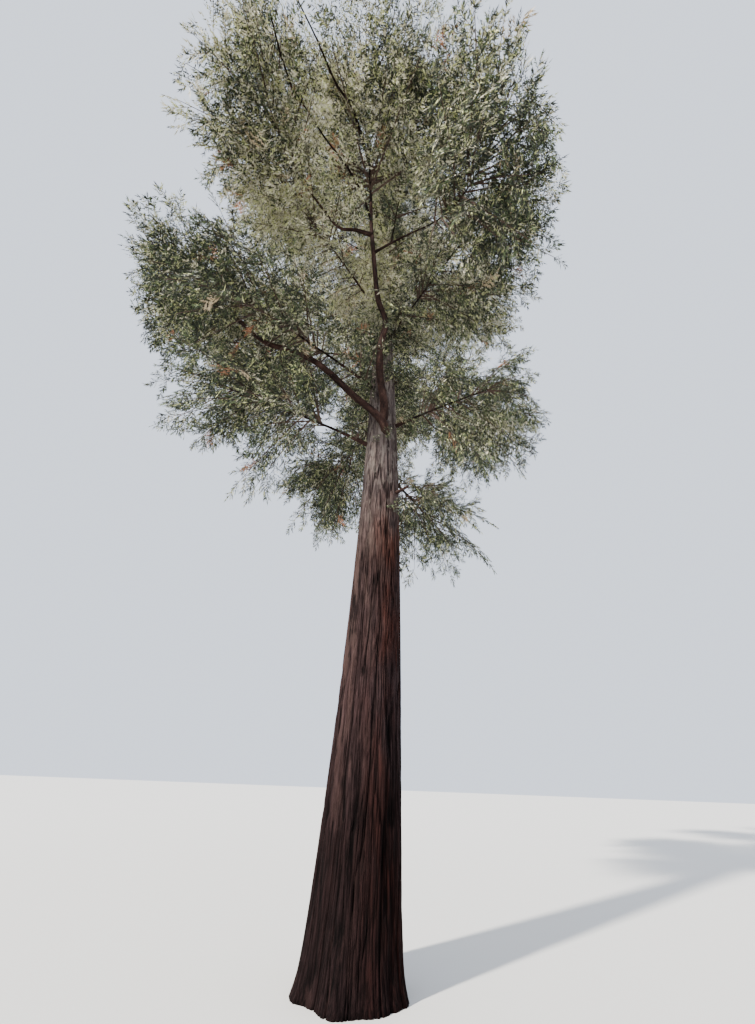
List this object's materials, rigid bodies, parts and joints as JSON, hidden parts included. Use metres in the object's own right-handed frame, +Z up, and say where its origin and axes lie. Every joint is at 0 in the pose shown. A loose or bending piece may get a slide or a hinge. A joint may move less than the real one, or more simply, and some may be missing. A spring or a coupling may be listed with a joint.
{
  "type": "coast redwood tree",
  "caption": "Tall rooted conifer with a flared fibrous trunk, spiralling boughs and drooping masses of flat needle sprays, open low on one side.",
  "frame": {"origin": "centre of the flat cut under the trunk, at ground level", "axes": "+Z up along the trunk, +Y away from the open side where the trunk shows, +X to the right seen from that side"},
  "size_m": [10.695, 11.4742, 26.8898],
  "materials": {
    "bark": "deeply furrowed fibrous bark, red-brown weathered grey on the ridges, matt",
    "bough_bark": "thin scaly dark red-brown bark, matt",
    "foliage": "grey-olive needles in flat sprays with yellow-green new growth and scattered dead orange-brown sprays, slightly waxy"
  },
  "bodies": {
    "root": {"bough_01": "bough_bark", "bough_02": "bough_bark", "bough_03": "bough_bark", "bough_04": "bough_bark", "bough_05": "bough_bark", "bough_06": "bough_bark", "bough_07": "bough_bark", "bough_08": "bough_bark", "bough_09": "bough_bark", "bough_10": "bough_bark", "bough_11": "bough_bark", "bough_12": "bough_bark", "bough_13": "bough_bark", "bough_14": "bough_bark", "bough_15": "bough_bark", "bough_16": "bough_bark", "bough_17": "bough_bark", "bough_front": "bough_bark", "bough_front_left": "bough_bark", "bough_front_right": "bough_bark", "bough_left": "bough_bark", "foliage_01": "foliage", "foliage_02": "foliage", "foliage_03": "foliage", "foliage_04": "foliage", "foliage_05": "foliage", "foliage_06": "foliage", "foliage_07": "foliage", "foliage_08": "foliage", "foliage_09": "foliage", "foliage_10": "foliage", "foliage_11": "foliage", "foliage_12": "foliage", "foliage_13": "foliage", "foliage_14": "foliage", "foliage_15": "foliage", "foliage_16": "foliage", "foliage_17": "foliage", "foliage_18": "foliage", "foliage_19": "foliage", "foliage_20": "foliage", "foliage_21": "foliage", "foliage_22": "foliage", "foliage_23": "foliage", "foliage_24": "foliage", "foliage_25": "foliage", "foliage_26": "foliage", "foliage_27": "foliage", "foliage_28": "foliage", "foliage_front": "foliage", "foliage_front_left": "foliage", "foliage_front_right": "foliage", "foliage_left": "foliage", "foliage_top": "foliage", "stub": "bough_bark", "trunk": "bark"}
  },
  "joints": []
}
